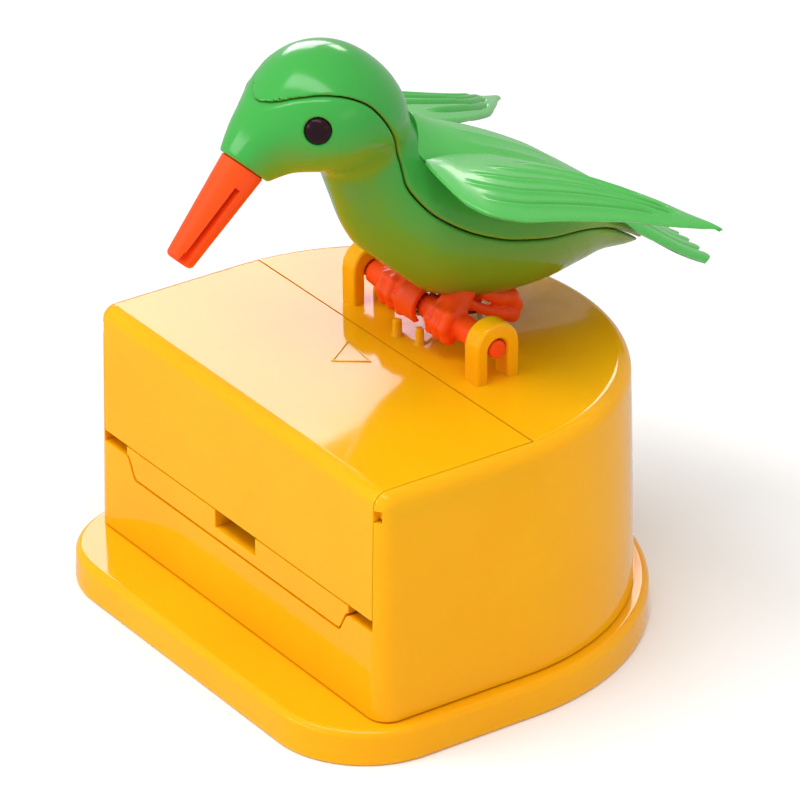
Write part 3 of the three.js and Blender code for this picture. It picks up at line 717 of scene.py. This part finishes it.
# The line between the two shells in the side view: y, height over the deck.
PARTING = [
    (-40, 47.4), (-27, 47.7), (-24.6, 47.9), (-22.6, 48.7), (-20.5, 49.5), (-16.9, 49.95),
    (-13.5, 49.2), (-10.9, 47.7), (-9.0, 45.7), (-6.9, 42.6), (-5.0, 39.2), (-3.8, 35.6),
    (-2.9, 31.4), (-1.4, 29.0), (0.2, 27.0), (4.3, 23.7), (11.3, 20.2), (19.2, 17.8),
    (31.5, 14.7), (38.5, 11.4), (44, 7.6), (60, -6),
]
# Half of the gap between the shells, which shows as the dark parting line.
SEAM_HALF = 0.13
# Grid step of the bird's skin.
STEP = 0.3
BEAK_LENGTH = np.linalg.norm(BEAK_TIP - BEAK_BASE)
BEAK_AXIS = (BEAK_TIP - BEAK_BASE) / BEAK_LENGTH


def parting_line(y, z):
    """How far a point is above and behind the parting line."""
    line = spline(np.array(PARTING, float), np.linspace(0, 1, 240))
    line[:, 1] += DECK
    best = np.full(np.broadcast(y, z).shape, np.inf)
    signed = np.zeros_like(best)
    for a, b in zip(line[:-1], line[1:]):
        dy, dz = b - a
        t = np.clip(((y - a[0]) * dy + (z - a[1]) * dz) / (dy * dy + dz * dz), 0, 1)
        oy, oz = y - a[0] - t * dy, z - a[1] - t * dz
        away = np.hypot(oy, oz)
        above = dy * oz - dz * oy > 0
        signed = np.where(away < best - 1e-9, np.where(above, away, -away), signed)
        best = np.minimum(best, away)
    return (signed,)


BODY_TABLE = tube_table(BODY)
SNOUT_TABLE = tube_table(SNOUT)
PARTING_TABLE = SideTable(parting_line, SIDE_LOW, SIDE_HIGH, 0.35)


def parting_distance(y, z):
    return PARTING_TABLE(y, z)[0]


def head_field(x, y, z):
    up = z - HEAD["z"]
    up = np.where(up < 0, up / HEAD["chin"], up)
    return np.sqrt(x ** 2 + (y - HEAD["y"]) ** 2 + up ** 2) - HEAD["r"]


def bird_field(x, y, z):
    body = tube_field(BODY_TABLE, x, y, z)
    snout = tube_field(SNOUT_TABLE, x, y, z)
    head = smooth_min(head_field(x, y, z), snout, 1.8)
    return smooth_min(head, body, 4.5) + 0.14


def eye_direction(side):
    out = np.array((EYE["x"] * side, EYE["y"] - HEAD["y"], EYE["z"] - HEAD["z"]))
    return out / np.linalg.norm(out)


def eye_hole(x, y, z):
    """A round pocket for the eye on the near and the far side."""
    out = eye_direction(1)
    px, py, pz = np.abs(x) - EYE["x"], y - EYE["y"], z - EYE["z"]
    along = px * out[0] + py * out[1] + pz * out[2]
    across = np.sqrt(np.maximum(px ** 2 + py ** 2 + pz ** 2 - along ** 2, 0))
    return np.maximum(across - EYE["r"] - 0.12, -along - 1.2)


def belly_field(x, y, z):
    """The lower shell, cut off square at the beak, with a pocket for each eye."""
    skin = bird_field(x, y, z)
    end = (y - BEAK_BASE[1]) * BEAK_AXIS[1] + (z - BEAK_BASE[2]) * BEAK_AXIS[2]
    skin = smooth_max(skin, end, 0.35)
    skin = smooth_max(skin, -eye_hole(x, y, z), 0.2)
    return smooth_max(skin, parting_distance(y, z) + SEAM_HALF, 0.4)


def back_field(x, y, z):
    """The upper shell, which stands a little proud of the lower one."""
    return smooth_max(bird_field(x, y, z) - 0.1, SEAM_HALF - parting_distance(y, z), 0.4)


def make_bird_body():
    shells = (("belly_shell", "belly_shell_skin", belly_field),
              ("head_back_shell", "head_back_skin", back_field))
    for node, name, field in shells:
        low, high = mm_box(node)
        verts, faces = surface_nets(field, low - 1, high + 1, STEP)
        skin = mesh_object(name, verts, faces, sharp=0)
        place(skin, "bird", GREEN, "green_plastic", node)


def make_eyes():
    r, root, brim, dome = EYE["r"], -1.1, -0.12, 0.8
    for side, node in ((1, "left_eye"), (-1, "right_eye")):
        out = eye_direction(side)
        profile = [(0.0, root), (r, root), (r, brim)]
        profile += [(r * math.cos(a), brim + dome * math.sin(a))
                    for a in np.linspace(0.12, math.pi / 2, 9)]
        profile[-1] = (0.0, profile[-1][1])
        at = (EYE["x"] * side, EYE["y"], EYE["z"])
        place(lathe(node + "_dome", profile, at, out, 40), "bird", EYE_BLACK, "eye_plastic", node)


def make_beak():
    """A blunt cone on a peg, split by a slot that widens at its tip."""
    length, root, tip, lip = BEAK_LENGTH, 3.6, 2.35, 0.9
    peg, peg_length, chamfer = 2.0, 4.5, 0.2
    profile = [(0.0, -peg_length), (peg, -peg_length), (peg, 0.0), (root - 0.25, 0.0), (root, chamfer)]
    profile += [(root + (tip - root) * t, chamfer + (length - lip - chamfer) * t)
                for t in np.linspace(0.1, 1, 8)]
    profile += [(tip - lip + lip * math.cos(a), length - lip + lip * math.sin(a))
                for a in np.linspace(0.2, math.pi / 2, 8)]
    profile += [(0.0, length)]
    obj = lathe("beak_cone", profile, BEAK_BASE, BEAK_AXIS, 64)
    across = Vector((1, 0, 0)).cross(Vector(BEAK_AXIS))
    turn = Matrix((Vector((1, 0, 0)), across, Vector(BEAK_AXIS))).transposed()
    middle = -0.9
    for start, tall in ((0.2, 1.0), (0.9, 1.35)):
        verts, faces = brick(-5, 5, middle - tall / 2, middle + tall / 2, length * start, length + 1)
        verts = [turn @ Vector(v) + Vector(BEAK_BASE) for v in verts]
        boolean(obj, mesh_object("tool", verts, faces), "DIFFERENCE")
    soften_edges(obj, 0.18, angle=45, segments=2)
    place(obj, "bird", ORANGE, "orange_plastic", "beak")


# ---- Bird feet -----------------------------------------------------------------------------
FOOT_X = 6.2
BAR_R, PIN_R = 2.05, 1.45
# The narrow stretch of the bar that the spring winds round, and the hood over it.
WELL_X, WELL_HALF, WELL_R = -1.75, 1.65, 1.5
HOOD_R, HOOD_HALF_WALL = 3.17, 0.43
# The two screw bosses in the pad between the legs: x, y, radius.
BOSS_X, BOSS_Y, BOSS_R = 2.8, 12.6, 2.0
FEET_STEP = 0.25


def meet(*fields):
    """The space that all the fields share."""
    return np.maximum.reduce(np.broadcast_arrays(*fields))


def feet_field(x, y, z):
    """Bar, pins, hood, legs, toes and pad in one. Points of the chains: side, y, height."""
    inner = LUG_OUTER - LUG_T - GAP
    h = z - DECK
    side = np.abs(x)
    radius = np.hypot(y - PIVOT_Y, z - PIVOT_Z)
    from_well = np.abs(x - WELL_X)
    rod = np.maximum(radius - BAR_R, side - inner)
    neck = np.maximum(radius - WELL_R, from_well - WELL_HALF)
    rod = np.where(from_well < WELL_HALF, neck, rod)
    pin = np.maximum(radius - PIN_R, side - LUG_OUTER + 0.2)
    total = np.minimum(rod, pin)
    hood = meet(np.abs(radius - HOOD_R) - HOOD_HALF_WALL, from_well - WELL_HALF - 0.5,
                y - PIVOT_Y - 0.5, 3.3 - h)
    total = np.minimum(total, hood)
    leg = chain(side, y, h, [(5.6, 9.5, 10.5), (5.9, 7.6, 8.0), (6.2, 7.2, 6.2)], [2.3, 2.2, 2.0])
    total = smooth_min(total, leg, 0.8)
    for spread in (-2.15, 0.0, 2.15):
        foot = FOOT_X + spread
        # The innermost toe is tucked back, so that it clears the spring post when the bird bows.
        tuck = 0.45 if spread < 0 else 0
        points = [(FOOT_X + spread * 0.45, 7.2, 8.0), (foot, 4.7 + tuck, 7.4 - tuck),
                  (foot, 3.75 + tuck, 5.6), (foot, 4.2 + tuck / 2, 3.8), (foot, 5.2, 2.9)]
        toe = chain(side, y, h, points, [1.2, 1.0, 0.92, 0.8, 0.5])
        total = smooth_min(total, toe, 0.9)
    rear = [(6.0, 7.5, 8.6), (6.0, 10.3, 7.0), (6.0, 12.4, 5.6), (6.0, 15.6, 4.0), (5.8, 18.2, 3.0)]
    total = smooth_min(total, chain(side, y, h, rear, [1.1, 0.7, 0.75, 1.1, 1.3]), 0.5)
    loop = [(5.8, 18.2, 3.0), (5.7, 19.0, 4.4), (5.8, 18.0, 6.0), (5.9, 15.8, 6.6), (5.8, 13.1, 7.9)]
    total = smooth_min(total, chain(side, y, h, loop, [1.3, 1.2, 1.3, 1.3, 1.0]), 0.4)
    pad = meet(side - 5.4, 10.8 - y, y - 14.6, 7.0 - h, h - 9.4)
    boss = meet(np.hypot(side - BOSS_X, y - BOSS_Y) - BOSS_R, 4.5 - h, h - 9.4)
    pad = np.minimum(pad, boss)
    return smooth_min(total, pad + 0.2, 0.5)


def make_feet():
    low, high = mm_box("feet_bracket")
    verts, faces = surface_nets(feet_field, low - 0.6, high + 0.6, FEET_STEP)
    feet = mesh_object("feet_and_bar", verts, faces, sharp=0)
    place(feet, "bird", ORANGE, "orange_plastic", "feet_bracket")


# ---- Bird back, tail and wings -------------------------------------------------------------
# The middle of the back plate: y, height over the deck, half width, how far its sides drop,
# how far they sweep forwards.
BACK = [
    (3.1, 39.6, 7.0, 3.4, 3.0), (6.6, 37.2, 9.4, 5.6, 2.6), (11, 34.9, 11.0, 6.0, 1.6),
    (16, 32.5, 11.6, 5.6, 0.6), (22, 29.3, 10.8, 4.6, 0), (28, 25.6, 9.2, 3.6, 0),
    (33, 22.0, 7.8, 3.0, 0), (38, 18.1, 7.0, 3.4, 0), (42, 14.3, 7.5, 3.2, 0), (46, 10.5, 8.3, 2.2, 0),
    (50, 7.2, 9.0, 1.6, 0), (54.6, 4.2, 9.4, 1.1, 0),
]
BACK_T, WING_T = 1.5, 1.15
# Where the tail fan starts, its feathers on each side, and how deep their round ends are notched.
FAN_START = 44.0
TAIL_FEATHERS = 3.5
NOTCH = 1.9
# The three rills down each side of the back: place across it, y where they end.
RILLS = ((0.18, 30), (0.45, 27), (0.72, 23))


def ridge(value, at, width):
    """A soft bump of height 1."""
    return np.exp(-((value - at) / width) ** 2)


def ease(value):
    value = np.clip(value, 0, 1)
    return value * value * (3 - 2 * value)


def quarter_round(value):
    value = np.clip(value, 0, 1)
    return np.sqrt(value * (2 - value))


def under_side(top, thickness, edge):
    """The under side of a sheet, behind its top by thickness times edge."""
    along = np.gradient(top, axis=0)
    across = np.gradient(top, axis=1)
    normal = np.cross(across, along)
    normal /= np.maximum(np.linalg.norm(normal, axis=2, keepdims=True), 1e-9)
    normal[normal[..., 2] < 0] *= -1
    return top - normal * (thickness * edge)[..., None]


def make_back():
    rows, cols = 150, 112
    u = np.linspace(-1, 1, cols + 1)[None, :]
    table = spline(np.array(BACK, float), np.linspace(0, 1, 600), 2)
    feather = np.abs(u) * TAIL_FEATHERS + 0.5
    across = 2 * (feather % 1) - 1
    end = BACK[-1][0] - NOTCH * (1 - np.sqrt(np.clip(1 - across ** 2, 0.05, 1)))
    y = np.interp(np.linspace(0, 1, rows + 1), np.linspace(0, 1, 600), table[:, 0])[:, None]
    fan = (y - FAN_START) * (end - FAN_START) / (BACK[-1][0] - FAN_START)
    y = np.where(y > FAN_START, FAN_START + fan, y + 0 * u)
    z, half, drop, sweep = [np.interp(y, table[:, 0], table[:, i]) for i in (1, 2, 3, 4)]
    top = np.stack([half * u, y - sweep * u ** 2, DECK + z - drop * u ** 2], axis=2)
    fade = np.clip((y - 36) / 6, 0, 1)
    relief = fade * (0.16 * (1 - across ** 2) - 0.3 * ridge(np.abs(across), 1.0, 0.2))
    for share, length in RILLS:
        along = np.clip((y - 9) / 4, 0, 1) * np.clip((length - y) / 4, 0, 1)
        relief += 0.2 * ridge(np.abs(u), share, 0.05) * along
    top[..., 2] += relief
    front = (y - y[0]) / 0.7 + 0.12
    rim = np.minimum(1, np.minimum((1 - np.abs(u)) * half / 0.8, front))
    round_off = quarter_round(rim)
    top[..., 2] -= 0.45 * (1 - round_off)
    under = under_side(top, BACK_T, 0.5 + 0.5 * round_off)
    plate = mesh_object("back_and_tail_plate", *sheet_mesh(top, under), sharp=50)
    place(plate, "bird", PALE_GREEN, "pale_green_plastic", "back_and_tail")


# Ribs of the left wing from root to tip: inner and outer end as (x, y, height over the deck),
# and how far the wing bows up between them.
WING = [
    ((8.5, 0.9, 35.2), (9.4, -0.2, 35.2), 0.1), ((7.4, 5.2, 34.3), (14.9, -1.3, 34.9), 0.6),
    ((6.9, 8.9, 33.3), (22.0, -1.7, 34.2), 1.0), ((6.9, 12.6, 32.3), (25.8, 0.0, 33.3), 1.3),
    ((7.9, 15.6, 31.3), (27.8, 4.7, 31.6), 1.5), ((9.2, 19.5, 29.9), (27.7, 11.4, 29.7), 1.5),
    ((11.6, 24.1, 28.2), (27.1, 19.5, 27.2), 1.4), ((14.7, 28.6, 26.4), (27.3, 26.7, 25.0), 1.1),
    ((21.2, 34.6, 23.9), (28.3, 33.0, 22.9), 0.6), ((25.2, 37.7, 22.2), (28.8, 37.7, 21.5), 0.3),
    ((27.6, 39.8, 21.2), (29.2, 39.9, 20.9), 0.1), ((28.9, 40.8, 20.6), (29.4, 40.8, 20.5), 0),
]
# Feather grooves on a wing: place across it (0 inner edge, 1 outer edge), first and last point
# along it (0 root, 1 tip).
GROOVES = [
    (0.15, 0.34, 0.78), (0.32, 0.25, 0.85), (0.49, 0.20, 0.87), (0.66, 0.18, 0.85),
    (0.82, 0.24, 0.78),
]
GROOVE_DEPTH, BEAD_HEIGHT = 0.95, 0.4


def make_wing(side, node):
    rows, cols = 150, 120
    v = np.linspace(0, 1, rows + 1)
    s = np.linspace(0, 1, cols + 1)[None, :]
    ribs = spline([(*near, *far, bow) for near, far, bow in WING], v, 6)
    inner, outer, camber = ribs[:, None, 0:3], ribs[:, None, 3:6], ribs[:, 6:7]
    across = 2 * s - 1
    top = inner + (outer - inner) * s[..., None]
    top[..., 2] += DECK + camber * (1 - across ** 2)
    width = np.linalg.norm(outer - inner, axis=2)
    t = v[:, None]
    relief = np.zeros((rows + 1, cols + 1))
    for at, start, stop in GROOVES:
        along = ease((t - start) / 0.12) * ease((stop - t) / 0.05)
        groove = ridge(s * width, at * width, 0.36)
        bead = ridge(s * width, at * width + 0.8, 0.42)
        relief += along * (BEAD_HEIGHT * bead - GROOVE_DEPTH * groove)
    # The short feathers of the inner half end in a shallow step down.
    step = np.clip((t - 0.615) / 0.012, 0, 1)
    step = step * np.clip((s - 0.12) / 0.05, 0, 1) * np.clip((0.62 - s) / 0.05, 0, 1)
    relief -= 0.14 * step * np.clip((0.95 - t) / 0.2, 0, 1)
    rim = np.minimum(s, 1 - s) * width / 0.7
    top[..., 2] += relief * ease((0.95 - t) / 0.1) * ease(rim / 2)
    round_off = quarter_round(rim)
    top[..., 2] -= 0.3 * (1 - round_off)
    edge = 0.4 + 0.6 * round_off * np.clip((1 - t) / 0.06, 0.3, 1)
    under = under_side(top, WING_T, edge)
    for grid in (top, under):
        grid[..., 0] *= side
    obj = mesh_object(node + "_feathers", *sheet_mesh(top, under), sharp=55)
    place(obj, "bird", PALE_GREEN, "pale_green_plastic", node)


# ---- Build ---------------------------------------------------------------------------------
make_base()
make_box()
make_lid()
make_arrow()
make_chute()
make_bird_body()
make_eyes()
make_beak()
make_feet()
make_back()
make_wing(1, "left_wing")
make_wing(-1, "right_wing")

KEPT = {"bottom_cover": YELLOW, "return_spring": STEEL}
for number in range(1, 5):
    KEPT[f"base_screw_{number}"] = STEEL
for number in (1, 2):
    KEPT[f"feet_screw_{number}"] = STEEL
for node, material in KEPT.items():
    kept = frame["nodes"][node]
    for slot in kept.material_slots:
        slot.material = material

# ---- Camera, floor and light -----------------------------------------------------------------
# The photograph's viewpoint: where the camera stands, its right-hand side and its back.
CAMERA_AT = (0.700486, -0.476665, 0.480266)
CAMERA_RIGHT = Vector((0.56648, 0.82405, -0.00656))
CAMERA_BACK = Vector((0.73123, -0.49897, 0.46511))
CAMERA_LENS = 279.43


def frame_at(at, right, back):
    """The transform of a camera or lamp at a point, squared up from its right side and back."""
    back = back.normalized()
    up = back.cross(right).normalized()
    axes = Matrix((up.cross(back), up, back)).transposed()
    return Matrix.Translation(at) @ axes.to_4x4()


camera_data = bpy.data.cameras.new("camera")
camera_data.sensor_width = 36
camera_data.lens = CAMERA_LENS
camera_data.clip_end = 20
camera = bpy.data.objects.new("camera", camera_data)
bpy.context.collection.objects.link(camera)
camera.matrix_world = frame_at(CAMERA_AT, CAMERA_RIGHT, CAMERA_BACK)
bpy.context.scene.camera = camera

FLOOR_HALF = 9
floor_mesh = bpy.data.meshes.new("floor")
floor_corners = [(FLOOR_HALF * x, FLOOR_HALF * y, 0) for x, y in ((-1, -1), (1, -1), (1, 1), (-1, 1))]
floor_mesh.from_pydata(floor_corners, [], [(0, 1, 2, 3)])
floor = bpy.data.objects.new("floor", floor_mesh)
bpy.context.collection.objects.link(floor)
paper = bpy.data.materials.new("paper")
paper.use_nodes = True
paper_bsdf = paper.node_tree.nodes["Principled BSDF"]
paper_bsdf.inputs["Base Color"].default_value = (0.93, 0.93, 0.93, 1)
paper_bsdf.inputs["Roughness"].default_value = 0.9
floor_mesh.materials.append(paper)
# The glossy plastic mirrors the soft light only, not the floor.
floor.visible_glossy = False

LAMP_HEIGHT = 0.25


def area_lamp(name, size, power):
    """A rectangular area lamp that the camera doesn't see. size is (width, height)."""
    data = bpy.data.lights.new(name, "AREA")
    data.shape = "RECTANGLE"
    data.size, data.size_y = size
    data.energy = power
    obj = bpy.data.objects.new(name, data)
    obj.visible_camera = False
    bpy.context.collection.objects.link(obj)
    return obj


def lamp(name, at, aim, width, power):
    obj = area_lamp(name, (width, LAMP_HEIGHT), power)
    obj.location = at
    obj.rotation_euler = (Vector(aim) - Vector(at)).to_track_quat("-Z", "Y").to_euler()


# Where the main view, mirrored in the deck, ends up behind the object: a point and the axes
# of a plane there that faces the object.
MIRROR_AT = Vector((-0.5445, 0.3640, 0.4034))
MIRROR_RIGHT = Vector((0.0112, 0.6947, -0.7192))
MIRROR_BACK = Vector((-0.7427, 0.4874, 0.4592))


def reflector(name, along, across, size, power, colour):
    """A soft panel that shows only in glossy reflections, set in the mirrored view of the deck."""
    panel = area_lamp(name, size, power)
    plane = frame_at(MIRROR_AT, MIRROR_RIGHT, MIRROR_BACK)
    panel.matrix_world = plane @ Matrix.Translation((along, across, 0))
    panel.data.color = colour
    panel.visible_diffuse = False


lamp("top_softbox", (0.08, -0.26, 0.88), (0, 0, 0.04), 1.0, 5.5)
lamp("front_fill", (-0.35, -1.1, 0.55), (0, 0, 0.05), 0.95, 4.1)
lamp("side_fill", (1.1, 0.2, 0.5), (0, 0, 0.05), 0.5, 0.4)
reflector("lid_panel", 0.0, 0.15, (0.3, 0.3), 2.0, (1.0, 0.8, 1.0))
reflector("deck_panel", 0.07, -0.124, (0.11, 0.16), 0.5, (1.0, 0.95, 0.9))

world = bpy.data.worlds.new("studio")
world.use_nodes = True
world.node_tree.nodes["Background"].inputs["Color"].default_value = (1, 1, 1, 1)
world.node_tree.nodes["Background"].inputs["Strength"].default_value = 0.62
bpy.context.scene.world = world
bpy.context.scene.view_settings.view_transform = "Standard"
